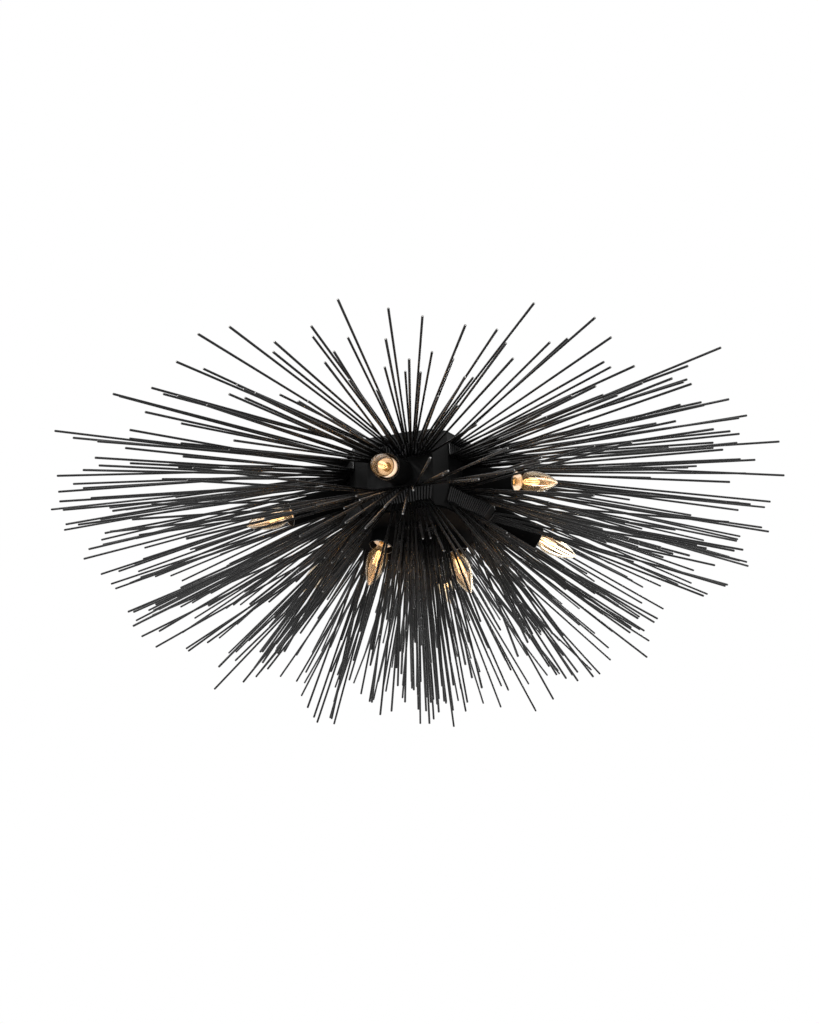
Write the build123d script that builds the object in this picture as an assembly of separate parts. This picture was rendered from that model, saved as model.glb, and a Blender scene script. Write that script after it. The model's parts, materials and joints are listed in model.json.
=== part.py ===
from build123d import *
import math
import os
import random

os.makedirs("parts", exist_ok=True)

# Starburst flush ceiling light. Wires bent like hairpins are welded side by side on the six faces
# of a hub, and both legs of each fan outwards. Eight candle lamps look out between them.
# Millimetres. The origin is the middle of the ceiling face, +Z is up, and face 1 looks along -Y.

# Burst of rods
SEED = 90                 # of the random draws
REACH = 563.0             # longest rod tip, from the axis
DROP = 376.0              # lowest rod tip, below the lamp centre
ROD_D = 3.2
ROD_SIDES = 6
TOOTH_GAP = 0.8           # between the feet of neighbouring hairpins
FLOOR_TOOTH_GAP = 1.6     # the same under the floor
TOOTH_LENGTH = 23.0       # straight foot of a hairpin, welded to the hub
SHORT_SHARES = (0.60, 0.90)   # of the way out to those tips
LONG_SHARES = (0.88, 1.0)
TURN_JITTER = 0.7         # degrees
DIP_STEP = 1.0            # least angle between the two legs of a hairpin

# Legs of the combs: least and greatest dip below the horizon in degrees, and the share that reach far out
UPPER_TOP_LEGS = (4.0, 13.0, 0.5)
UPPER_FOOT_LEGS = (10.0, 19.0, 0.65)
LOWER_TOP_LEGS = (16.0, 30.0, 0.75)
UNDER_LAMP_LEGS = (27.0, 36.0, 0.45)
SIDE_FOOT_LEGS = (38.0, 50.0, 0.15)
MIDDLE_FOOT_LEGS = (58.0, 74.0, 0.6)
BESIDE_LAMP_LEGS = (52.0, 63.0, 0.6)
FLOOR_OUTER_LEGS = (74.0, 82.0, 0.6)
FLOOR_INNER_LEGS = (82.0, 89.0, 0.8)
UPPER_FAN = 31.0          # turn of a comb's outermost leg, in degrees
LOWER_FAN = 31.0
MIDDLE_SHARE = 0.42       # share of a lower comb whose legs hang steeply

# Hub
FACES = 6
HUB_R = 110.0             # from the axis to a face
HUB_CORNER = 14.0         # taken off each corner, along each face
HUB_WALL = 2.0
PLATE = 3.0
UPPER_BAND_H = 41.5
WAIST_MARGIN = 1.0        # plain strip above and below a lamp hole
LOWER_BAND_H = 27.5
LOWER_TAPER = 36.0        # degrees from the vertical
FLOOR_COMB_R = 24.0       # from the axis to a comb under the floor
COMB_MARGIN = 0.5         # from the end of a comb to the corner
COMB_EDGE = 2.5           # from a comb to the seam beside it

# Lamps, along each lamp's own axis from the mouth of its sleeve
UPPER_LAMP_DIP = 22.5
UPPER_MOUTH = 217.0       # from the lamp centre
LOWER_LAMP_DIP = 72.0
LOWER_MOUTH_R = 59.0
LOWER_MOUTH_Z = -169.0
LOWER_LAMP_FACES = (3, 6)
SLEEVE_D = 38.0
SLEEVE_WALL = 1.2
UPPER_SLEEVE_TAIL = 8.0   # of a sleeve, inside the hub's wall
LOWER_SLEEVE_TAIL = 24.0  # of a sleeve, above the hub's floor
HOLDER_D = 22.0
HOLDER_FRONT = 9.0        # behind the mouth
HOLDER_L = 33.0
HOLDER_FLANGE = 3.0
COLLAR_D = 29.0           # raised ring on the flange
COLLAR_RISE = 2.0
COLLAR_BORE = 21.0
CAP_D = 11.9
CAP_WALL = 0.4
CAP_L = 16.0
CAP_SEAT = 6.0            # depth of the glass in the cap
CONTACT_D = 6.0
CONTACT_L = 3.0
GLASS_D = 31.0
GLASS_L = 76.0            # from the rim of the cap to the tip
GLASS_WALL = 0.7
BELLY = 0.39              # share of the glass length where it is widest
STEM_D = 4.0
STEM_L = 22.0
FILAMENT_D = 1.6
FILAMENT_RISE = 32.0
FILAMENT_SPAN = 7.0

# Ceiling fixing
CANOPY_D = 140.0
CANOPY_DEPTH = 25.0
CANOPY_WALL = 1.2
CANOPY_ROUND = 6.0
STRAP_W = 22.0
STRAP_THICK = 2.5
EAR_H = 18.0
BOX_SPACING = 79.4
BOX_SLOT_W = 5.0
BOX_SLOT_L = 14.5
STRAP_HOLE_D = 14.0
SIDE_SCREW_D = 4.0
SIDE_SCREW_Z = -12.0
THUMB_D = 10.0
THUMB_L = 6.0
GROUND_SCREW_D = 4.0
GROUND_HEAD_D = 8.0
GROUND_HEAD_L = 2.6
GROUND_X = 15.0

# Stem and wiring
NIPPLE_D = 10.0
NIPPLE_BORE = 7.0
NUT_ACROSS = 16.0
NUT_H = 5.6
THREAD_END = 1.0          # nipple left showing above the upper nut
BLOCK_FACE = 34.0         # from the lamp centre to a side of the junction block
BLOCK_H = 28.0
LEAD_D = 4.0
SUPPLY_D = 5.0
CONNECTOR_D = 13.0
CONNECTOR_TIP_D = 9.0
CONNECTOR_L = 10.0
CONNECTOR_GAP = 1.5       # below the strap

# Clearances
FIT_GAP = 0.2             # sleeve in its hole, flange in its sleeve, screw in its hole
SEAT_GAP = 0.1            # rod foot on its band or floor, glass in its cap
LAMP_GAP = 0.3            # lamp cap in its holder
ROD_ROOM = 4.0            # rods clear of a sleeve

# Levels that follow from the sizes above
upper_dip = math.radians(UPPER_LAMP_DIP)
lower_dip = math.radians(LOWER_LAMP_DIP)
hub_top = -CANOPY_DEPTH
band_top = hub_top - PLATE
waist_top = band_top - UPPER_BAND_H
waist_half = SLEEVE_D / 2 / math.cos(upper_dip) + WAIST_MARGIN
waist_foot = waist_top - 2 * waist_half
taper_in = LOWER_BAND_H * math.tan(math.radians(LOWER_TAPER))
floor_top = waist_foot - LOWER_BAND_H
rod_r = ROD_D / 2
flat_half = HUB_R * math.tan(math.pi / FACES) - HUB_CORNER
comb_half = flat_half - COMB_MARGIN
face_turn = 360 / FACES
waist_lamp_z = (waist_top + waist_foot) / 2
lamp_centre = Vector(0, 0, waist_lamp_z + HUB_R * math.tan(upper_dip))
wall_along_lamp = (HUB_R - HUB_WALL) / math.cos(upper_dip) - SLEEVE_D / 2 * math.tan(upper_dip)
upper_sleeve_l = UPPER_MOUTH - wall_along_lamp + UPPER_SLEEVE_TAIL
lower_sleeve_rear = floor_top + LOWER_SLEEVE_TAIL + SLEEVE_D / 2 * math.cos(lower_dip)
lower_sleeve_l = (lower_sleeve_rear - LOWER_MOUTH_Z) / math.sin(lower_dip)


def turned(face, shape):
    """Turn a shape made for face 1 to another face."""
    return Rot(0, 0, (face - 1) * face_turn) * shape


def ring_profile(points):
    """Solid of revolution about Z from (radius, height) points."""
    return revolve(Plane.XZ * make_face(Polyline(*points, close=True)), axis=Axis.Z)


def hub_outline(apothem):
    """Hexagon with its corners cut flat."""
    hexagon = RegularPolygon(apothem, FACES, major_radius=False)
    return chamfer(hexagon.vertices(), HUB_CORNER)


def dipped(dip, turn=0.0):
    """Unit vector turned from -Y towards +X, and dipped below the horizon."""
    level = math.cos(math.radians(dip))
    side = math.sin(math.radians(turn))
    ahead = math.cos(math.radians(turn))
    return Vector(level * side, -level * ahead, -math.sin(math.radians(dip)))


def upper_lamp_place():
    """Mouth of an upper sleeve on face 1, with +Z out along the lamp."""
    axis = dipped(UPPER_LAMP_DIP)
    return Plane(origin=lamp_centre + axis * UPPER_MOUTH, x_dir=(1, 0, 0), z_dir=axis).location


def lower_lamp_place():
    """Mouth of a lower sleeve on face 1, with +Z out along the lamp."""
    mouth = Vector(0, -LOWER_MOUTH_R, LOWER_MOUTH_Z)
    return Plane(origin=mouth, x_dir=(1, 0, 0), z_dir=dipped(LOWER_LAMP_DIP)).location


def lamp_bore(length):
    """Clearance hole for a sleeve, along the lamp's axis."""
    return Pos(0, 0, -length / 2) * Cylinder(SLEEVE_D / 2 + FIT_GAP, length + HUB_WALL)


# Rods
def leg_tip(start, heading, share):
    """Point where a leg meets the burst's ellipsoid, drawn in to a share of its size."""
    stretch = Vector(1 / REACH, 1 / REACH, 1 / DROP)
    offset = start - lamp_centre
    p = Vector(offset.X * stretch.X, offset.Y * stretch.Y, offset.Z * stretch.Z)
    d = Vector(heading.X * stretch.X, heading.Y * stretch.Y, heading.Z * stretch.Z)
    half_b = p.dot(d)
    run = -half_b + math.sqrt(half_b**2 - d.dot(d) * (p.dot(p) - share**2))
    return start + heading * (run / d.dot(d))


def straight_length(start, end, before=None, after=None):
    """Six-sided rod from start to end. An end where the wire bends on is cut on the slant."""
    heading = (end - start).normalized()
    spare = heading * (3 * ROD_D)
    tail = start if before is None else start - spare
    tip = end if after is None else end + spare
    section = Plane(origin=tail, x_dir=(1, 0, 0), z_dir=heading) * RegularPolygon(rod_r, ROD_SIDES)
    rod = extrude(section, (tip - tail).length)
    if before is not None:
        rod = split(rod, bisect_by=Plane(origin=start, z_dir=heading - (before - start).normalized()))
    if after is not None:
        rod = split(rod, bisect_by=Plane(origin=end, z_dir=(end - after).normalized() - heading))
    return rod.solid()


def hairpin(outer_tip, top, foot, inner_tip):
    """One bent wire as the three lengths that meet at its bends: leg, straight foot on the hub, leg."""
    return [straight_length(outer_tip, top, after=foot),
            straight_length(top, foot, before=outer_tip, after=inner_tip),
            straight_length(foot, inner_tip, before=top)]


def comb(draw, half, pitch, seat, fan, leg_kinds):
    """Hairpins side by side on face 1. seat and leg_kinds give the ends of a foot and their legs."""
    count = int(2 * half // pitch)
    far = [draw.random(), draw.random()]
    wires = []
    for index in range(count):
        offset = (index - (count - 1) / 2) * pitch
        least_dip = 0.0
        tips = []
        for leg, (low, high, far_share) in enumerate(leg_kinds(offset)):
            dip = max(draw.uniform(low, high), least_dip)
            turn = fan * offset / half + draw.uniform(-TURN_JITTER, TURN_JITTER)
            far[leg] += far_share
            shares = LONG_SHARES if far[leg] >= 1 else SHORT_SHARES
            far[leg] %= 1
            tips.append(leg_tip(seat(offset)[leg], dipped(dip, turn), draw.uniform(*shares)))
            least_dip = dip + DIP_STEP
        top, foot = seat(offset)
        wires.append(hairpin(tips[0], top, foot, tips[1]))
    return wires


def upright_seat(offset):
    """Ends of a foot that stands upright at the lower edge of the upper band."""
    out = -(HUB_R + rod_r + SEAT_GAP)
    foot_z = waist_top + COMB_EDGE
    return Vector(offset, out, foot_z + TOOTH_LENGTH), Vector(offset, out, foot_z)


def sloped_seat(offset):
    """Ends of a foot that lies down the tapered band, drawn in towards its bottom edge."""
    slope = math.radians(LOWER_TAPER)
    lift = rod_r + SEAT_GAP
    ends = []
    for down in (COMB_EDGE, COMB_EDGE + TOOTH_LENGTH):
        radius = HUB_R - down * math.sin(slope)
        out = radius + lift * math.cos(slope)
        level = waist_foot - down * math.cos(slope) - lift * math.sin(slope)
        ends.append(Vector(offset * radius / HUB_R, -out, level))
    return ends


def floor_seat(offset):
    """Ends of a foot that lies flat under the floor and points out from the axis."""
    level = floor_top - PLATE - SEAT_GAP - rod_r
    return Vector(offset, -FLOOR_COMB_R - TOOTH_LENGTH, level), Vector(offset, -FLOOR_COMB_R, level)


def upper_comb(draw):
    return comb(draw, comb_half, ROD_D + TOOTH_GAP, upright_seat, UPPER_FAN,
                lambda offset: (UPPER_TOP_LEGS, UPPER_FOOT_LEGS))


def lower_comb(draw, lamp_below):
    """Feet lie down the tapered band. Legs keep clear of the lamp above and of any lamp below."""
    sleeve_half = SLEEVE_D / 2 + ROD_ROOM

    def leg_kinds(offset):
        top = UNDER_LAMP_LEGS if abs(offset) < sleeve_half else LOWER_TOP_LEGS
        if abs(offset) > MIDDLE_SHARE * comb_half:
            return top, SIDE_FOOT_LEGS
        return top, BESIDE_LAMP_LEGS if lamp_below else MIDDLE_FOOT_LEGS

    narrow = 1 - (COMB_EDGE + TOOTH_LENGTH) * math.sin(math.radians(LOWER_TAPER)) / HUB_R
    return comb(draw, comb_half, (ROD_D + TOOTH_GAP) / narrow, sloped_seat, LOWER_FAN, leg_kinds)


def floor_comb(draw):
    """Legs hang almost straight down."""
    half = FLOOR_COMB_R * math.tan(math.pi / FACES) - rod_r
    return comb(draw, half, ROD_D + FLOOR_TOOTH_GAP, floor_seat, LOWER_FAN,
                lambda offset: (FLOOR_OUTER_LEGS, FLOOR_INNER_LEGS))


# Hub
def hub_top_plate():
    plate = Pos(0, 0, band_top) * extrude(hub_outline(HUB_R), PLATE)
    return plate - Pos(0, 0, band_top) * Cylinder(NIPPLE_D / 2 + FIT_GAP, 3 * PLATE)


def straight_band(top, foot):
    """Upright ring of the hub's outline."""
    height = top - foot
    ring = extrude(hub_outline(HUB_R), height) - extrude(hub_outline(HUB_R - HUB_WALL), height)
    return Pos(0, 0, foot) * ring


def hub_waist():
    ring = straight_band(waist_top, waist_foot)
    for face in range(1, FACES + 1):
        ring -= turned(face, upper_lamp_place() * lamp_bore(upper_sleeve_l))
    return ring


def hub_lower_band():
    """Tapered ring that narrows downwards."""
    outside = extrude(hub_outline(HUB_R), -LOWER_BAND_H, taper=LOWER_TAPER)
    inside = extrude(hub_outline(HUB_R - HUB_WALL), -LOWER_BAND_H, taper=LOWER_TAPER)
    return Pos(0, 0, waist_foot) * (outside - inside)


def hub_floor():
    floor = Pos(0, 0, floor_top - PLATE) * extrude(hub_outline(HUB_R - taper_in), PLATE)
    for face in LOWER_LAMP_FACES:
        floor -= turned(face, lower_lamp_place() * lamp_bore(lower_sleeve_l))
    return floor


# Lamps
def sleeve(length):
    tube = Cylinder(SLEEVE_D / 2, length) - Cylinder(SLEEVE_D / 2 - SLEEVE_WALL, length)
    return Pos(0, 0, -length / 2) * tube


def holder():
    """Screw holder with a flange that centres it in the sleeve, and a raised collar round the lamp."""
    front = -HOLDER_FRONT
    rear = front - HOLDER_L
    seat = cap_foot() - LAMP_GAP
    bore = CAP_D / 2 + LAMP_GAP
    flange = SLEEVE_D / 2 - SLEEVE_WALL - FIT_GAP
    face = front - COLLAR_RISE
    return ring_profile([
        (0, rear), (HOLDER_D / 2, rear), (HOLDER_D / 2, face - HOLDER_FLANGE), (flange, face - HOLDER_FLANGE),
        (flange, face), (COLLAR_D / 2, face), (COLLAR_D / 2, front), (COLLAR_BORE / 2, front),
        (COLLAR_BORE / 2, face), (bore, face), (bore, seat), (0, seat),
    ])


def cap_rim():
    """Front edge of the lamp's screw cap."""
    return LAMP_GAP - HOLDER_FRONT


def cap_foot():
    """Tip of the contact at the back of the lamp."""
    return cap_rim() - CAP_L - CONTACT_L


def lamp_cap():
    outer = CAP_D / 2
    floor = cap_rim() - CAP_SEAT
    shell = cap_rim() - CAP_L
    return ring_profile([
        (0, cap_foot()), (CONTACT_D / 2, cap_foot()), (outer, shell), (outer, cap_rim()),
        (outer - CAP_WALL, cap_rim()), (outer - CAP_WALL, floor), (0, floor),
    ])


def glass_body(inset):
    """Candle-shaped body: neck, belly and a drawn tip, all set in by the wall for the inside."""
    neck = CAP_D / 2 - CAP_WALL - SEAT_GAP - inset
    belly = GLASS_D / 2 - inset
    rim = cap_rim()
    start = rim - CAP_SEAT + SEAT_GAP
    wide = rim + BELLY * GLASS_L
    tip = rim + GLASS_L - inset
    low = (wide - rim) / 2
    high = (tip - wide) / 2
    outline = make_face([
        Line((0, start), (neck, start)),
        Line((neck, start), (neck, rim)),
        Bezier((neck, rim), (neck, rim + low), (belly, wide - low), (belly, wide)),
        Bezier((belly, wide), (belly, wide + high), (neck / 2, tip), (0, tip)),
        Line((0, tip), (0, start)),
    ])
    return revolve(Plane.XZ * outline, axis=Axis.Z)


def lamp_glass():
    return glass_body(0) - glass_body(GLASS_WALL)


def lamp_filament():
    """Glass stem with the filament standing on it in a narrow loop."""
    foot = cap_rim() - CAP_SEAT
    top = foot + STEM_L
    stem = Pos(0, 0, foot + STEM_L / 2) * Cylinder(STEM_D / 2, STEM_L)
    half = FILAMENT_SPAN / 2
    root = STEM_D / 4
    splay = top + FILAMENT_RISE / 4
    crown = top + FILAMENT_RISE
    path = Polyline((-root, 0, top), (-half, 0, splay), (-half, 0, crown),
                    (half, 0, crown), (half, 0, splay), (root, 0, top))
    wire_plane = Plane(origin=path @ 0, z_dir=path % 0)
    section = wire_plane * RegularPolygon(FILAMENT_D / 2, ROD_SIDES)
    wire = sweep(section, path=path, transition=Transition.RIGHT)
    return stem + wire


# Ceiling fixing
def canopy():
    """Round pan, open to the ceiling."""
    pan = Pos(0, 0, -CANOPY_DEPTH / 2) * Cylinder(CANOPY_D / 2, CANOPY_DEPTH)
    pan = fillet(pan.edges().group_by(Axis.Z)[0], CANOPY_ROUND)
    depth = CANOPY_DEPTH - CANOPY_WALL
    hollow = Pos(0, 0, -depth / 2) * Cylinder(CANOPY_D / 2 - CANOPY_WALL, depth)
    hollow = fillet(hollow.edges().group_by(Axis.Z)[0], CANOPY_ROUND - CANOPY_WALL)
    stem_hole = Pos(0, 0, -CANOPY_DEPTH) * Cylinder(NIPPLE_D / 2 + FIT_GAP, 4 * CANOPY_WALL)
    side_holes = Pos(0, 0, SIDE_SCREW_Z) * Rot(0, 90, 0) * Cylinder(SIDE_SCREW_D / 2 + FIT_GAP, CANOPY_D)
    return pan - hollow - stem_hole - side_holes


def strap_half():
    """Half length of the strap, whose square ears stay inside the round pan."""
    inner = CANOPY_D / 2 - CANOPY_WALL - FIT_GAP
    return math.sqrt(inner**2 - (STRAP_W / 2) ** 2)


def ceiling_strap():
    """Flat bar with slots for a ceiling box and two ears bent down."""
    half = strap_half()
    bar = Pos(0, 0, -STRAP_THICK / 2) * Box(2 * half, STRAP_W, STRAP_THICK)
    ear = Box(STRAP_THICK, STRAP_W, EAR_H)
    for side in (-1, 1):
        bar += Pos(side * (half - STRAP_THICK / 2), 0, -EAR_H / 2) * ear
    slot = extrude(SlotOverall(BOX_SLOT_L, BOX_SLOT_W), STRAP_THICK, both=True)
    for side in (-1, 1):
        bar -= Pos(side * BOX_SPACING / 2, 0, 0) * slot
    bar -= Cylinder(STRAP_HOLE_D / 2, 3 * STRAP_THICK)
    bar -= Pos(GROUND_X, 0, 0) * Cylinder(GROUND_SCREW_D / 2 + FIT_GAP, 3 * STRAP_THICK)
    bar -= Pos(0, 0, SIDE_SCREW_Z) * Rot(0, 90, 0) * Cylinder(SIDE_SCREW_D / 2 + FIT_GAP, CANOPY_D)
    return bar


def canopy_screws():
    """Two thumb screws that hold the pan to the strap's ears."""
    inner_end = strap_half() - 2 * STRAP_THICK
    seat = CANOPY_D / 2 + SEAT_GAP
    shank = Pos(0, 0, (inner_end + seat) / 2) * Cylinder(SIDE_SCREW_D / 2, seat - inner_end)
    head = Pos(0, 0, seat + THUMB_L / 2) * Cylinder(THUMB_D / 2, THUMB_L)
    screw = Rot(0, 90, 0) * (shank + head)
    level = Pos(0, 0, SIDE_SCREW_Z)
    return [level * screw, level * Rot(0, 0, 180) * screw]


def ground_screw():
    shank = Pos(0, 0, -STRAP_THICK / 2) * Cylinder(GROUND_SCREW_D / 2, STRAP_THICK)
    head = Pos(0, 0, -STRAP_THICK - GROUND_HEAD_L / 2) * Cylinder(GROUND_HEAD_D / 2, GROUND_HEAD_L)
    return Pos(GROUND_X, 0, 0) * (shank + head)


# Stem and wiring
pan_floor = CANOPY_WALL - CANOPY_DEPTH
nipple_foot = band_top - NUT_H
nipple_top = pan_floor + NUT_H + THREAD_END


def hub_nipple():
    length = nipple_top - nipple_foot
    tube = Cylinder(NIPPLE_D / 2, length) - Cylinder(NIPPLE_BORE / 2, length)
    return Pos(0, 0, (nipple_top + nipple_foot) / 2) * tube


def nipple_nuts():
    """One nut on the floor of the pan and one under the hub's top plate."""
    nut = extrude(RegularPolygon(NUT_ACROSS / 2, 6, major_radius=False), NUT_H)
    nut -= Cylinder(NIPPLE_D / 2 + SEAT_GAP, 3 * NUT_H)
    return [Pos(0, 0, pan_floor) * nut, Pos(0, 0, nipple_foot) * nut]


def junction_block():
    """Ceramic block under the stem, with a side square to each upper lamp."""
    rise = nipple_foot - lamp_centre.Z
    top_half = (BLOCK_FACE + rise * math.sin(upper_dip)) / math.cos(upper_dip)
    body = extrude(RegularPolygon(top_half, FACES, major_radius=False), -BLOCK_H, taper=UPPER_LAMP_DIP)
    return Pos(0, 0, nipple_foot) * body


def lamp_leads():
    """A twin lead from the back of each holder to the junction block."""
    holder_rear = HOLDER_FRONT + HOLDER_L
    upper_length = UPPER_MOUTH - BLOCK_FACE - holder_rear
    block_foot = nipple_foot - BLOCK_H
    slant = LEAD_D / 2 / math.tan(lower_dip)
    lower_length = (block_foot - LOWER_MOUTH_Z) / math.sin(lower_dip) - holder_rear - slant
    leads = []
    for face in range(1, FACES + 1):
        lead = Pos(0, 0, -holder_rear - upper_length / 2) * Cylinder(LEAD_D / 2, upper_length)
        leads.append(turned(face, upper_lamp_place() * lead))
    for face in LOWER_LAMP_FACES:
        lead = Pos(0, 0, -holder_rear - lower_length / 2) * Cylinder(LEAD_D / 2, lower_length)
        leads.append(turned(face, lower_lamp_place() * lead))
    return leads


connector_top = -STRAP_THICK - CONNECTOR_GAP
connector_foot = connector_top - CONNECTOR_L


def supply_lead():
    length = connector_foot - nipple_foot
    return Pos(0, 0, nipple_foot + length / 2) * Cylinder(SUPPLY_D / 2, length)


def wire_connector():
    """Twist-on cap over the joint with the building's supply."""
    cap = Cone(CONNECTOR_D / 2, CONNECTOR_TIP_D / 2, CONNECTOR_L)
    return Pos(0, 0, connector_foot + CONNECTOR_L / 2) * cap


def write(name, shapes):
    """Write one node: a solid, or a group of separate solids."""
    if isinstance(shapes, list):
        shapes = Compound(children=shapes)
    export_step(shapes, f"parts/{name}.step")


def write_rods(name, face, wires):
    write(name, [turned(face, length) for wire in wires for length in wire])


def write_lamp(name, face, place, sleeve_length):
    write(f"{name}_sleeve", turned(face, place * sleeve(sleeve_length)))
    write(f"{name}_holder", turned(face, place * holder()))
    write(f"{name}_base", [turned(face, place * lamp_cap()), turned(face, place * lamp_filament())])
    write(f"{name}_glass", turned(face, place * lamp_glass()))


write("canopy", canopy())
write("ceiling_strap", ceiling_strap())
write("canopy_screws", canopy_screws())
write("ground_screw", ground_screw())
write("hub_nipple", hub_nipple())
write("nipple_nuts", nipple_nuts())
write("junction_block", junction_block())
write("lamp_leads", lamp_leads())
write("supply_lead", supply_lead())
write("wire_connector", wire_connector())

write("hub_top_plate", hub_top_plate())
write("hub_upper_band", straight_band(band_top, waist_top))
write("hub_waist", hub_waist())
write("hub_lower_band", hub_lower_band())
write("hub_floor", hub_floor())

for face in range(1, FACES + 1):
    draw = random.Random(SEED + face)
    write_rods(f"upper_rods_{face}", face, upper_comb(draw))
    lamp_below = face in LOWER_LAMP_FACES
    lower_wires = lower_comb(draw, lamp_below)
    if not lamp_below:
        lower_wires += floor_comb(draw)
    write_rods(f"lower_rods_{face}", face, lower_wires)
    write_lamp(f"upper_lamp_{face}", face, upper_lamp_place(), upper_sleeve_l)

for number, face in enumerate(LOWER_LAMP_FACES, start=1):
    write_lamp(f"lower_lamp_{number}", face, lower_lamp_place(), lower_sleeve_l)
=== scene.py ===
import json
import math

import bpy
import bmesh
from mathutils import Matrix, Vector


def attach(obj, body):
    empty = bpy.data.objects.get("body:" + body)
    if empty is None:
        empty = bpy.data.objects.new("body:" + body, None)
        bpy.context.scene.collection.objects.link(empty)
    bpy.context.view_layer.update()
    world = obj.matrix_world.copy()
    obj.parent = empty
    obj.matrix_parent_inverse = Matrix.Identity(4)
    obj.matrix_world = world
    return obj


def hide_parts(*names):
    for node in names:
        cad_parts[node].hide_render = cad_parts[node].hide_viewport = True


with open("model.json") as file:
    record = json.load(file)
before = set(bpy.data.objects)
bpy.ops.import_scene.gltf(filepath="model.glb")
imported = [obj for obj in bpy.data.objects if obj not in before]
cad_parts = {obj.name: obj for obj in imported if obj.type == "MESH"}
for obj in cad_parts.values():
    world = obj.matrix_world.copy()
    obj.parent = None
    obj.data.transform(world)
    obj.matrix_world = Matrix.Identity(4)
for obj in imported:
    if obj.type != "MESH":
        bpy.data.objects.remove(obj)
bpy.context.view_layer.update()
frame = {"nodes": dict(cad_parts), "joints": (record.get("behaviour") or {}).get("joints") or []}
nodes = frame["nodes"]
scene = bpy.context.scene

MM = 0.001

# Wires: each is a leg, a foot and a leg, rounded at its two bends
WIRE_R = 1.6 * MM
WIRE_SIDES = 10
BEND_R = 4.0 * MM
BEND_STEPS = 5
BEND_SHARE = 0.4  # most of a straight length that one bend takes up
CUT_END_HIGHLIGHT = 1  # place of the cut ends' material in a bundle of wires: bare metal, lighter as a painted highlight
BAR_TRIANGLES = 20  # of one straight length in the frame, a six-sided bar
SAME_PLACE = 0.001 * MM

# Domed end of a bar: distance in from the end and radius there, as shares of the bar's radius
END_DOME = ((0.0, 0.55), (0.35, 0.9), (0.8, 1.0))

# Turned pieces of a lamp: heights run out along its axis from the mouth of its sleeve
LATHE_STEPS = 48
ON_AXIS = 0.0001 * MM

# Screw cap of a lamp
CAP_R = 5.95 * MM
CAP_RIM = -8.7 * MM
CAP_L = 16.0 * MM
CAP_FOOT = CAP_RIM - CAP_L
CAP_FOOT_R = CAP_R - 1.2 * MM
CAP_TIP = -27.7 * MM
CAP_SEAT = CAP_RIM - 6.0 * MM  # where the glass and its stem stand in the cap
CAP_INSIDE_R = CAP_R - 0.4 * MM
THREAD_TURNS = 5
THREAD_POINTS = 8  # to a turn
THREAD_FOOT = CAP_FOOT + 1.0 * MM
THREAD_PITCH = (CAP_L - 3.0 * MM) / THREAD_TURNS
THREAD_ROOT_R = CAP_R - 0.75 * MM
THREAD_DEPTH = 0.7 * MM
CONTACT = ((0.0, 0.0), (2.2, 0.0), (3.0, 0.6))  # radius and height over the tip, in millimetres
CAP_ROLL = ((0.1, 0.4), (0.15, 0.0))  # inset and depth under the rim, in millimetres

# Glass of a lamp
GLASS_R = 15.5 * MM
GLASS_L = 76.0 * MM
GLASS_WALL = 0.7 * MM
GLASS_NECK_R = CAP_R - 0.5 * MM
GLASS_FOOT = CAP_SEAT + 0.1 * MM
BELLY = 0.39  # height of the widest place, as a share of the length
LOWER_STEPS = 14
UPPER_STEPS = 22

# Glass stem: radius and height over its foot, and radius and depth under its top, in millimetres
STEM_TOP = 7.3 * MM
STEM_FLARE = ((0.0, 0.0), (3.6, 0.0), (2.6, 4.0), (2.0, 9.0))
STEM_PINCH = ((1.8, 4.0), (2.0, 0.8), (1.4, 0.0), (0.0, 0.0))
STEM_STEPS = 20

# Filament: a wire that runs up and down round the stem's top in a cage
CAGE_R = 0.4 * MM
CAGE_SIDES = 8
CAGE_FOOT = STEM_TOP - 1.0 * MM
CAGE_RISE = 24.0 * MM
CAGE_LIFT = 2.0 * MM
CAGE_FOOT_R = 3.6 * MM
CAGE_HEAD_R = 4.6 * MM
CAGE_LEGS = 8
CAGE_LEAN = 0.5  # of a step round the axis, by which a leg's head leads its foot
CAGE_END = 1.2 * MM  # how far to one side of the lamp's axis both ends stand
CAGE_END_GAP = 0.8 * MM  # between the two ends
CAGE_BEND_R = 0.7 * MM
CAGE_BEND_STEPS = 4

# Porcelain holder, and the ring that closes the sleeve round its collar, dark as painted shade
HOLDER_FRONT = -9.0 * MM
HOLDER_REAR = -42.0 * MM
HOLDER_R = 11.0 * MM
REAR_ROUND = 0.6 * MM
COLLAR_R = 14.5 * MM
COLLAR_ROUND = 0.5 * MM
COLLAR_NECK_R = COLLAR_R - 0.4 * MM
DISH = ((3.0, 0.0), (3.6, 0.5), (4.0, 1.6))  # inset from the collar and depth, in millimetres
BORE_R = 6.25 * MM
BORE_END = CAP_TIP - 0.3 * MM
BORE_MOUTH = ((0.6, 2.0), (0.0, 2.6))  # how much wider than the bore, and depth, in millimetres
FLANGE_R = 17.6 * MM
FLANGE_BACK = HOLDER_FRONT - 3.0 * MM
FLANGE_FACE = HOLDER_FRONT - 1.9 * MM
FLANGE_ROUND = 0.3 * MM

# Rolled lip at the mouth of a sleeve
LIP_R = 18.4 * MM
LIP_THICK_R = 0.75 * MM
LIP_STEPS = 10

# Light that a lamp throws on what is round it
LAMP_POWER = 0.06  # watts
LAMP_COLOUR = (1.0, 0.62, 0.36)
LAMP_SOFT_R = 14.0 * MM
LAMP_HEIGHT = STEM_TOP + 14.4 * MM

# Softened edges of the plain solids
WELD_GAP = 0.001 * MM
BEVEL_SEGMENTS = 3
BEVEL_ANGLE = math.radians(35)

# Stage
FLOOR_HALF = 20.0
FLOOR_Z = -1.6
ROOM_GREY = (0.55, 0.55, 0.56, 1.0)
WHITE = (1.0, 1.0, 1.0, 1.0)
LIGHT_AIM = (0, 0, -0.15)

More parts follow.
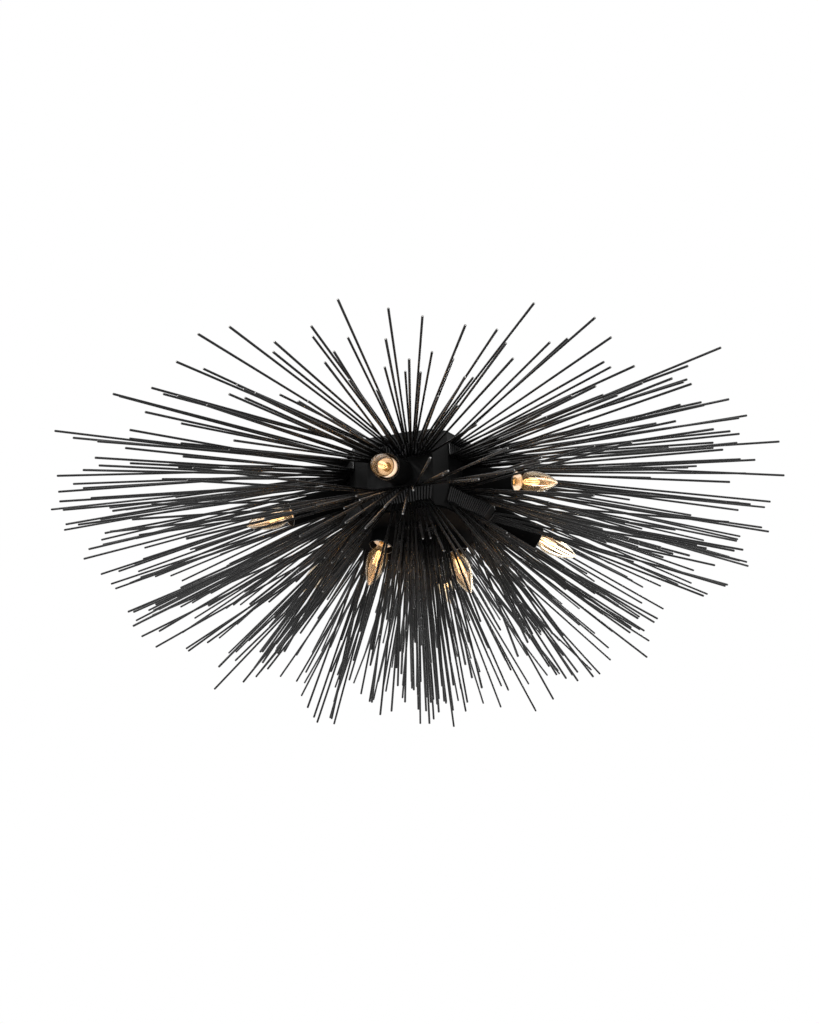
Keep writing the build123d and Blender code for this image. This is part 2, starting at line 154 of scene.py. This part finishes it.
# Camera at the photograph's viewing angle, rolled a little
CAMERA_PLACE = Vector((0.3121, -1.5620, -0.8924))
CAMERA_AIM = Vector((-0.0155, 0.0207, -0.0910))
CAMERA_ROLL = math.radians(-2.616)
CAMERA_LENS = 40.57
CAMERA_SENSOR = 36.0

# Materials
NOISE_MIDDLE = (0.3, 0.7)  # noise seldom leaves this range
NOISE_CORE = (0.35, 0.65)
NOISE_DETAIL = 4.0
ROUGH_FINENESS = 2.3  # roughness varies this much more finely than colour


def new_material(name):
    """A new material, its node tree and its Principled shader."""
    material = bpy.data.materials.new(name)
    material.use_nodes = True
    tree = material.node_tree
    return material, tree, tree.nodes["Principled BSDF"]


def add(tree, kind, **settings):
    """A new node with its settings."""
    node = tree.nodes.new(kind)
    for key, value in settings.items():
        setattr(node, key, value)
    return node


def set_inputs(node, values):
    """Plain numbers on a node's sockets, by the sockets' names."""
    for socket, value in values.items():
        node.inputs[socket].default_value = value


def noise(tree, scale, detail=NOISE_DETAIL):
    """Noise in the object's own space."""
    place = add(tree, "ShaderNodeTexCoord").outputs["Object"]
    texture = add(tree, "ShaderNodeTexNoise")
    set_inputs(texture, {"Scale": scale, "Detail": detail})
    tree.links.new(place, texture.inputs["Vector"])
    return texture.outputs["Fac"]


def ramp(tree, value, dark, light, span=NOISE_MIDDLE):
    """Colour that goes from dark to light over a span of a texture's values."""
    node = add(tree, "ShaderNodeValToRGB")
    for element, position, colour in zip(node.color_ramp.elements, span, (dark, light)):
        element.position = position
        element.color = (*colour, 1.0)
    tree.links.new(value, node.inputs["Fac"])
    return node.outputs["Color"]


def spread(tree, value, low, high):
    """A texture's middle range spread between two numbers."""
    node = add(tree, "ShaderNodeMapRange")
    bottom, top = NOISE_MIDDLE
    set_inputs(node, {"From Min": bottom, "From Max": top, "To Min": low, "To Max": high})
    tree.links.new(value, node.inputs["Value"])
    return node.outputs["Result"]


def bump(tree, shader, value, strength, distance):
    """Fine unevenness of a surface."""
    node = add(tree, "ShaderNodeBump")
    set_inputs(node, {"Strength": strength, "Distance": distance})
    tree.links.new(value, node.inputs["Height"])
    tree.links.new(node.outputs["Normal"], shader.inputs["Normal"])


def surface(name, dark, light, rough, scale, grain,
            metallic=0.0, specular=0.5, depth=0.2 * MM, strength=0.25):
    """Mottled colour, uneven roughness and a fine grain."""
    material, tree, shader = new_material(name)
    tree.links.new(ramp(tree, noise(tree, scale), dark, light), shader.inputs["Base Color"])
    roughness = spread(tree, noise(tree, scale * ROUGH_FINENESS), *rough)
    tree.links.new(roughness, shader.inputs["Roughness"])
    set_inputs(shader, {"Metallic": metallic, "Specular IOR Level": specular})
    bump(tree, shader, noise(tree, grain), strength, depth)
    return material


def clear_glass():
    """Clear blown glass, uneven, with a faint golden glow of the filament's light painted into it."""
    material, tree, shader = new_material("clear_glass")
    # The glass emits faintly: a painted glow of the filament's light in the glass
    set_inputs(shader, {"Transmission Weight": 1.0, "IOR": 1.46, "Emission Strength": 0.018})
    tint = ramp(tree, noise(tree, scale=30.0), dark=(0.95, 0.84, 0.66), light=(0.98, 0.92, 0.82))
    tree.links.new(tint, shader.inputs["Base Color"])
    painted_glow = ramp(tree, noise(tree, scale=45.0), dark=(0.9, 0.40, 0.10), light=(1.0, 0.62, 0.22))
    tree.links.new(painted_glow, shader.inputs["Emission Color"])
    roughness = spread(tree, noise(tree, scale=25.0), low=0.0, high=0.03)
    tree.links.new(roughness, shader.inputs["Roughness"])
    bump(tree, shader, noise(tree, scale=60.0, detail=2.0), strength=0.06, distance=0.6 * MM)
    return material


def glowing():
    """Filament that glows from amber to warm white."""
    material, tree, shader = new_material("glowing_filament")
    set_inputs(shader, {"Emission Strength": 1.7, "Roughness": 0.5})
    amber = (1.0, 0.62, 0.26)
    warm_white = (1.0, 0.84, 0.52)
    heat = ramp(tree, noise(tree, scale=120.0), amber, warm_white, NOISE_CORE)
    tree.links.new(heat, shader.inputs["Base Color"])
    tree.links.new(heat, shader.inputs["Emission Color"])
    return material


def pale_floor():
    """Plain pale floor, dull and a little uneven."""
    material, tree, shader = new_material("pale_floor")
    tint = ramp(tree, noise(tree, scale=2.0), dark=(0.84, 0.84, 0.84), light=(0.88, 0.88, 0.88))
    tree.links.new(tint, shader.inputs["Base Color"])
    set_inputs(shader, {"Roughness": 0.9})
    return material


wire_iron = surface("wire_iron", dark=(0.002, 0.002, 0.002), light=(0.007, 0.0067, 0.0064),
                    rough=(0.24, 0.36), scale=45.0, grain=80.0, strength=0.03)
hub_iron = surface("hub_iron", dark=(0.003, 0.003, 0.003), light=(0.008, 0.008, 0.008),
                   rough=(0.36, 0.5), scale=30.0, grain=700.0, specular=0.14, strength=0.1)
sleeve_iron = surface("sleeve_iron", dark=(0.002, 0.002, 0.002), light=(0.005, 0.005, 0.005),
                      rough=(0.7, 0.85), scale=40.0, grain=800.0, specular=0.06, strength=0.1)
canopy_iron = surface("canopy_iron", dark=(0.006, 0.006, 0.006), light=(0.014, 0.014, 0.014),
                      rough=(0.42, 0.58), scale=25.0, grain=700.0, specular=0.15)
# Bare metal of the wires' cut ends and the sleeves' lips, lighter than the black iron: partly a painted
# highlight
bare_iron_and_highlight = surface("bare_iron_and_highlight", dark=(0.30, 0.29, 0.28), light=(0.55, 0.54, 0.52),
                   rough=(0.3, 0.45), scale=300.0, grain=900.0, metallic=1.0)
zinc = surface("zinc", dark=(0.42, 0.42, 0.41), light=(0.66, 0.66, 0.64),
               rough=(0.25, 0.45), scale=180.0, grain=1500.0, metallic=1.0)
brass = surface("brass", dark=(0.55, 0.40, 0.17), light=(0.80, 0.62, 0.32),
                rough=(0.18, 0.34), scale=200.0, grain=1600.0, metallic=1.0)
porcelain = surface("porcelain", dark=(0.80, 0.78, 0.74), light=(0.90, 0.89, 0.86),
                    rough=(0.12, 0.25), scale=60.0, grain=500.0, depth=0.1 * MM)
lead_cover = surface("lead_cover", dark=(0.02, 0.02, 0.02), light=(0.05, 0.05, 0.05),
                     rough=(0.5, 0.7), scale=120.0, grain=900.0)
glass = clear_glass()
filament_glow = glowing()


# Meshes
def new_piece(name, build, form, material, body, replaced=()):
    """Piece built from its form, with its material, body and the nodes that it stands for."""
    mesh = bpy.data.meshes.new(name)
    shape = bmesh.new()
    build(shape, form)
    bmesh.ops.recalc_face_normals(shape, faces=shape.faces)
    shape.to_mesh(mesh)
    shape.free()
    for polygon in mesh.polygons:
        polygon.use_smooth = True
    piece = bpy.data.objects.new(name, mesh)
    scene.collection.objects.link(piece)
    mesh.materials.append(material)
    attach(piece, body)
    if replaced:
        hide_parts(*replaced)
    return piece


def side_ring(shape, centre, across, up, radius, sides):
    """Ring of corners round a point of a bar's path."""
    ring = []
    for step in range(sides):
        angle = math.tau * step / sides
        offset = across * math.cos(angle) + up * math.sin(angle)
        ring.append(shape.verts.new(centre + offset * radius))
    return ring


def bridge(shape, rings, end_material):
    """Skin over rings of corners, closed at both ends."""
    for ring, after in zip(rings, rings[1:]):
        count = len(ring)
        for i in range(count):
            j = (i + 1) % count
            shape.faces.new((ring[i], ring[j], after[j], after[i]))
    shape.faces.new(reversed(rings[0])).material_index = end_material
    shape.faces.new(rings[-1]).material_index = end_material


def tube(shape, path, radius, sides, end_material=0):
    """Round bar along a path, with slightly domed ends that can have their own material."""
    headings = [(b - a).normalized() for a, b in zip(path, path[1:])]
    across = headings[0].orthogonal().normalized()
    last = len(path) - 1
    rings = []
    for index, point in enumerate(path):
        before = headings[max(index - 1, 0)]
        after = headings[min(index, last - 1)]
        way = (before + after).normalized()
        across = (across - way * across.dot(way)).normalized()
        up = way.cross(across)
        places = [(point, 1.0)]
        if index == 0:
            places = [(point + way * radius * inset, width) for inset, width in END_DOME]
        elif index == last:
            places = [(point - way * radius * inset, width) for inset, width in reversed(END_DOME)]
        for centre, width in places:
            rings.append(side_ring(shape, centre, across, up, radius * width, sides))
    bridge(shape, rings, end_material)


def bent_path(points, bend_r, steps):
    """Path with each inner corner rounded."""
    path = [points[0]]
    for before, corner, after in zip(points, points[1:], points[2:]):
        a = (before - corner).normalized()
        b = (after - corner).normalized()
        half = a.angle(b) / 2
        shorter = min((after - corner).length, (before - corner).length)
        run = min(bend_r / math.tan(half), shorter * BEND_SHARE)
        start = corner + a * run
        end = corner + b * run
        for step in range(steps + 1):
            t = step / steps
            path.append(start * (1 - t) ** 2 + corner * 2 * t * (1 - t) + end * t ** 2)
    path.append(points[-1])
    return path


def turned_ring(shape, place, radius, height, steps):
    """Ring of corners round the lamp's axis, or one corner on it."""
    if radius < ON_AXIS:
        return [shape.verts.new(place @ Vector((0, 0, height)))]
    ring = []
    for step in range(steps):
        angle = math.tau * step / steps
        corner = Vector((radius * math.cos(angle), radius * math.sin(angle), height))
        ring.append(shape.verts.new(place @ corner))
    return ring


def lathe(shape, place, profile, steps=LATHE_STEPS, closed=False):
    """Turned surface round the lamp's axis from (radius, height) points."""
    rings = [turned_ring(shape, place, radius, height, steps) for radius, height in profile]
    pairs = list(zip(rings, rings[1:]))
    if closed:
        pairs.append((rings[-1], rings[0]))
    for ring, after in pairs:
        for i in range(steps):
            j = (i + 1) % steps
            if len(ring) == 1 and len(after) > 1:
                shape.faces.new((ring[0], after[j], after[i]))
            elif len(after) == 1 and len(ring) > 1:
                shape.faces.new((ring[i], ring[j], after[0]))
            elif len(ring) > 1:
                shape.faces.new((ring[i], ring[j], after[j], after[i]))


# Wires
def straight_lengths(node):
    """Both ends of the middle line of each straight bar in a node of rods, in the node's order."""
    mesh = nodes[node].data
    lengths = []
    for first in range(0, len(mesh.polygons), BAR_TRIANGLES):
        corners = {}
        for polygon in mesh.polygons[first:first + BAR_TRIANGLES]:
            for index in polygon.vertices:
                corner = mesh.vertices[index].co
                corners[tuple(round(c / SAME_PLACE) for c in corner)] = corner
        start = next(iter(corners.values()))
        far = max(corners.values(), key=lambda corner: (corner - start).length)
        along = (far - start).normalized()
        middle = sum(along.dot(corner) for corner in corners.values()) / len(corners)
        near_end = [corner for corner in corners.values() if along.dot(corner) < middle]
        far_end = [corner for corner in corners.values() if along.dot(corner) >= middle]
        lengths.append([sum(end, Vector()) / len(end) for end in (near_end, far_end)])
    return lengths


def wires_of(node):
    """Four points of each bent wire, which is a leg, a foot and a leg: tip, bend, bend, tip."""
    lengths = straight_lengths(node)
    wires = []
    for leg, foot, other_leg in zip(lengths[0::3], lengths[1::3], lengths[2::3]):
        bend, other_bend = sorted(foot, key=lambda end: min((end - tip).length for tip in leg))
        tip = max(leg, key=lambda end: (end - bend).length)
        other_tip = max(other_leg, key=lambda end: (end - other_bend).length)
        wires.append([tip, bend, other_bend, other_tip])
    return wires


def build_wires(shape, wires):
    """Round wires with bare cut ends, lighter in colour as a painted highlight."""
    for points in wires:
        tube(shape, bent_path(points, BEND_R, BEND_STEPS), WIRE_R, WIRE_SIDES, CUT_END_HIGHLIGHT)


for node in sorted(nodes):
    if "_rods_" in node:
        name = node.replace("rods", "wires")
        bundle = new_piece(name, build_wires, wires_of(node), wire_iron, "fixture", [node])
        # The cut ends take the lighter bare metal, partly a painted highlight on the tips
        bundle.data.materials.append(bare_iron_and_highlight)


# Lamps
def lamp_place(joint):
    """Mouth of a lamp's sleeve, with +Z out along the lamp."""
    out = Vector(joint["axis"]).normalized()
    across = out.cross(Vector((0, 0, 1))).normalized()
    turn = Matrix((across, out.cross(across), out)).transposed().to_4x4()
    return Matrix.Translation(Vector(joint["pos_m"])) @ turn


def bezier(a, b, c, d, steps):
    """Points of a cubic curve from a to d, with b and c as its handles."""
    points = []
    for step in range(steps + 1):
        t = step / steps
        s = 1 - t
        weights = (s**3, 3 * s * s * t, 3 * s * t * t, t**3)
        points.append(tuple(sum(w * p[k] for w, p in zip(weights, (a, b, c, d))) for k in (0, 1)))
    return points


def glass_profile(inset):
    """Candle shape from the cap to the tip, drawn in by an inset."""
    neck = GLASS_NECK_R - inset
    belly = GLASS_R - inset
    wide = CAP_RIM + BELLY * GLASS_L
    tip = CAP_RIM + GLASS_L - inset
    low = (wide - CAP_RIM) / 2
    high = (tip - wide) / 2
    lower = bezier((neck, CAP_RIM), (neck, CAP_RIM + low), (belly, wide - low), (belly, wide), LOWER_STEPS)
    upper = bezier((belly, wide), (belly, wide + high), (neck / 2, tip), (0.0, tip), UPPER_STEPS)
    return [(neck, GLASS_FOOT)] + lower + upper[1:]


def build_glass(shape, place):
    """Blown glass with a wall, open at its foot."""
    outside = glass_profile(0.0)
    inside = glass_profile(GLASS_WALL)
    lathe(shape, place, outside + inside[::-1], closed=True)


def build_cap(shape, place):
    """Rolled screw shell with a thread, and a contact."""
    profile = [(radius * MM, CAP_TIP + height * MM) for radius, height in CONTACT]
    profile.append((CAP_FOOT_R, CAP_FOOT))
    for step in range(THREAD_TURNS * THREAD_POINTS + 1):
        turns = step / THREAD_POINTS
        wave = 0.5 - 0.5 * math.cos(math.tau * turns)
        profile.append((THREAD_ROOT_R + THREAD_DEPTH * wave, THREAD_FOOT + THREAD_PITCH * turns))
    profile += [(CAP_R - inset * MM, CAP_RIM - depth * MM) for inset, depth in CAP_ROLL]
    profile += [(CAP_INSIDE_R, CAP_RIM), (CAP_INSIDE_R, CAP_SEAT), (0.0, CAP_SEAT)]
    lathe(shape, place, profile)


def build_cage(shape, place):
    """Filament that runs up and down round the stem in a cage."""
    foot_end = (CAGE_FOOT_R, CAGE_FOOT + CAGE_LIFT, 0.0)
    head_end = (CAGE_HEAD_R, CAGE_FOOT + CAGE_RISE, CAGE_LEAN)
    corners = [place @ Vector((CAGE_END, 0, CAGE_FOOT))]
    for leg in range(CAGE_LEGS):
        ends = (foot_end, head_end) if leg % 2 == 0 else (head_end, foot_end)
        for radius, height, lean in ends:
            turn = math.tau * (leg + lean) / (CAGE_LEGS + 1)
            corners.append(place @ Vector((radius * math.cos(turn), radius * math.sin(turn), height)))
    corners.append(place @ Vector((CAGE_END, -CAGE_END_GAP, CAGE_FOOT)))
    tube(shape, bent_path(corners, CAGE_BEND_R, CAGE_BEND_STEPS), CAGE_R, CAGE_SIDES)


def build_stem(shape, place):
    """Flared glass stem, drawn in at the top where it holds the filament."""
    profile = [(radius * MM, CAP_SEAT + height * MM) for radius, height in STEM_FLARE]
    profile += [(radius * MM, STEM_TOP - depth * MM) for radius, depth in STEM_PINCH]
    lathe(shape, place, profile, STEM_STEPS)


def build_holder(shape, place):
    """Porcelain screw holder: raised white collar, dish and the bore for the cap."""
    profile = [(0.0, HOLDER_REAR), (HOLDER_R - REAR_ROUND, HOLDER_REAR)]
    profile += [(HOLDER_R, HOLDER_REAR + REAR_ROUND), (HOLDER_R, FLANGE_BACK)]
    profile.append((COLLAR_NECK_R, FLANGE_BACK))
    profile += [(COLLAR_NECK_R, FLANGE_FACE), (COLLAR_R, FLANGE_FACE)]
    profile += [(COLLAR_R, HOLDER_FRONT - COLLAR_ROUND), (COLLAR_R - COLLAR_ROUND, HOLDER_FRONT)]
    profile += [(COLLAR_R - inset * MM, HOLDER_FRONT - depth * MM) for inset, depth in DISH]
    profile += [(BORE_R + wider * MM, HOLDER_FRONT - depth * MM) for wider, depth in BORE_MOUTH]
    profile += [(BORE_R, BORE_END), (0.0, BORE_END)]
    lathe(shape, place, profile)


def build_flange(shape, place):
    """Ring that closes the sleeve round the collar, dark as painted shade in the mouth."""
    rounded_r = FLANGE_R - FLANGE_ROUND
    profile = [(COLLAR_NECK_R, FLANGE_BACK), (rounded_r, FLANGE_BACK)]
    profile += [(FLANGE_R, FLANGE_BACK + FLANGE_ROUND), (FLANGE_R, FLANGE_FACE - FLANGE_ROUND)]
    profile += [(rounded_r, FLANGE_FACE), (COLLAR_NECK_R, FLANGE_FACE)]
    lathe(shape, place, profile, closed=True)


def build_lip(shape, place):
    """Rolled lip at the mouth of a sleeve."""
    profile = []
    for step in range(LIP_STEPS):
        angle = math.tau * step / LIP_STEPS
        profile.append((LIP_R + LIP_THICK_R * math.cos(angle), LIP_THICK_R * (math.sin(angle) - 1)))
    lathe(shape, place, profile, closed=True)


def lamp_light(name, place):
    """Warm light of one lamp, not seen itself."""
    light = bpy.data.lights.new(name, "POINT")
    light.energy = LAMP_POWER
    light.color = LAMP_COLOUR
    light.shadow_soft_size = LAMP_SOFT_R
    lamp = bpy.data.objects.new(name, light)
    lamp.location = place @ Vector((0, 0, LAMP_HEIGHT))
    lamp.visible_camera = False
    lamp.visible_transmission = False
    scene.collection.objects.link(lamp)


for joint in frame["joints"]:
    lamp = joint["child"]
    place = lamp_place(joint)
    new_piece(lamp + "_cap", build_cap, place, brass, lamp, [lamp + "_base"])
    new_piece(lamp + "_filament", build_cage, place, filament_glow, lamp)
    new_piece(lamp + "_stem", build_stem, place, glass, lamp)
    bulb = new_piece(lamp + "_bulb", build_glass, place, glass, lamp, [lamp + "_glass"])
    bulb.visible_shadow = False
    holder = [lamp + "_holder"]
    new_piece(lamp + "_socket", build_holder, place, porcelain, "fixture", holder)
    # The ring takes the sleeve's dark iron: painted shade round the white collar
    new_piece(lamp + "_flange", build_flange, place, sleeve_iron, "fixture")
    # The lip's lighter bare metal is a painted highlight round the rim of the black sleeve
    new_piece(lamp + "_lip", build_lip, place, bare_iron_and_highlight, "fixture")
    lamp_light(lamp + "_light", place)


# Plain solids
def dress(node, material, edge):
    """Material and softened edges on one of the frame's own solids."""
    piece = nodes[node]
    piece.data.materials.clear()
    piece.data.materials.append(material)
    weld = piece.modifiers.new("weld", "WELD")
    weld.merge_threshold = WELD_GAP
    bevel = piece.modifiers.new("bevel", "BEVEL")
    bevel.width = edge
    bevel.segments = BEVEL_SEGMENTS
    bevel.limit_method = "ANGLE"
    bevel.angle_limit = BEVEL_ANGLE
    bevel.harden_normals = True


dress("canopy", canopy_iron, edge=0.3 * MM)
dress("ceiling_strap", zinc, edge=0.4 * MM)
dress("canopy_screws", hub_iron, edge=0.3 * MM)
dress("ground_screw", zinc, edge=0.3 * MM)
dress("hub_nipple", zinc, edge=0.3 * MM)
dress("nipple_nuts", zinc, edge=0.4 * MM)
dress("junction_block", porcelain, edge=0.6 * MM)
dress("lamp_leads", lead_cover, edge=0.1 * MM)
dress("supply_lead", lead_cover, edge=0.1 * MM)
dress("wire_connector", lead_cover, edge=0.4 * MM)
for node in ("hub_top_plate", "hub_upper_band", "hub_waist", "hub_lower_band"):
    dress(node, hub_iron, edge=0.5 * MM)
dress("hub_floor", sleeve_iron, edge=0.5 * MM)
for node in nodes:
    if node.endswith("_sleeve"):
        dress(node, sleeve_iron, edge=0.3 * MM)


# Stage
def lay_floor():
    """Wide pale floor far below the light."""
    sides = ((-1, -1), (1, -1), (1, 1), (-1, 1))
    corners = [(FLOOR_HALF * x, FLOOR_HALF * y, FLOOR_Z) for x, y in sides]
    mesh = bpy.data.meshes.new("floor")
    mesh.from_pydata(corners, [], [(0, 1, 2, 3)])
    floor = bpy.data.objects.new("floor", mesh)
    mesh.materials.append(pale_floor())
    scene.collection.objects.link(floor)


def light_room():
    """Soft grey light all round, seen as white by the camera and in metal and glass."""
    world = bpy.data.worlds.new("studio")
    scene.world = world
    world.use_nodes = True
    tree = world.node_tree
    path = add(tree, "ShaderNodeLightPath")
    seen = path.outputs["Is Camera Ray"]
    for ray in ("Is Glossy Ray", "Is Transmission Ray"):
        either = add(tree, "ShaderNodeMath", operation="MAXIMUM")
        tree.links.new(seen, either.inputs[0])
        tree.links.new(path.outputs[ray], either.inputs[1])
        seen = either.outputs[0]
    shade = add(tree, "ShaderNodeMix", data_type="RGBA")
    set_inputs(shade, {"A": ROOM_GREY, "B": WHITE})
    tree.links.new(seen, shade.inputs["Factor"])
    background = tree.nodes["Background"]
    tree.links.new(shade.outputs["Result"], background.inputs["Color"])
    set_inputs(background, {"Strength": 1.0})


def soft_light(name, place, size, energy):
    """Round studio lamp that looks at the hub."""
    light = bpy.data.lights.new(name, "AREA")
    light.shape = "DISK"
    light.size = size
    light.energy = energy
    lamp = bpy.data.objects.new(name, light)
    lamp.location = place
    lamp.rotation_euler = (Vector(LIGHT_AIM) - Vector(place)).to_track_quat("-Z", "Y").to_euler()
    scene.collection.objects.link(lamp)


def set_camera():
    """Camera that looks up at the light."""
    camera_data = bpy.data.cameras.new("camera")
    camera_data.lens = CAMERA_LENS
    camera_data.sensor_width = CAMERA_SENSOR
    camera = bpy.data.objects.new("camera", camera_data)
    look = (CAMERA_AIM - CAMERA_PLACE).to_track_quat("-Z", "Y").to_matrix().to_4x4()
    turn = look @ Matrix.Rotation(CAMERA_ROLL, 4, "Z")
    camera.matrix_world = Matrix.Translation(CAMERA_PLACE) @ turn
    scene.collection.objects.link(camera)
    scene.camera = camera


lay_floor()
light_room()
soft_light("key", place=(-0.9, -2.2, 1.1), size=0.8, energy=22.0)
soft_light("fill", place=(2.0, -2.0, -0.6), size=0.8, energy=14.0)
soft_light("back", place=(0.4, 2.4, 0.8), size=1.0, energy=14.0)
set_camera()

scene.view_settings.view_transform = "Standard"
